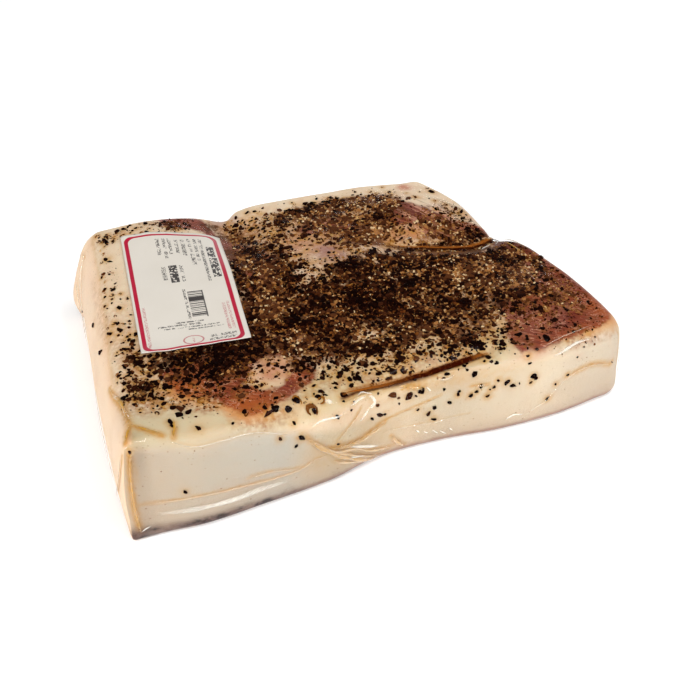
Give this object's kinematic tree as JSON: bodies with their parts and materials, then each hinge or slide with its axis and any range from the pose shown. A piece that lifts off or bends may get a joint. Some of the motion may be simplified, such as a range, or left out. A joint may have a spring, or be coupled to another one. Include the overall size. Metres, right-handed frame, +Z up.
{
  "type": "film-sealed slab of lardo",
  "caption": "Slab of cured pork back fat with lean streaks and a coarse pepper crust, sealed in tight clear film with a paper label.",
  "frame": {"origin": "on the table, under the middle of the pack's bounding box", "axes": "+X along the long front side, +Y from the front side to the back side, +Z up"},
  "size_m": [0.2756, 0.1962, 0.0623],
  "materials": {
    "film_wrapped_fat": "cured fat with lean streaks under clear shrink film",
    "film": "clear glossy shrink film",
    "pepper": "cracked black pepper",
    "juice": "amber meat juice held in the folds of the film",
    "label_paper": "smooth label paper with a printed crimson border"
  },
  "bodies": {
    "root": {"sealed_slab": "film_wrapped_fat", "label": "label_paper"}
  },
  "joints": []
}
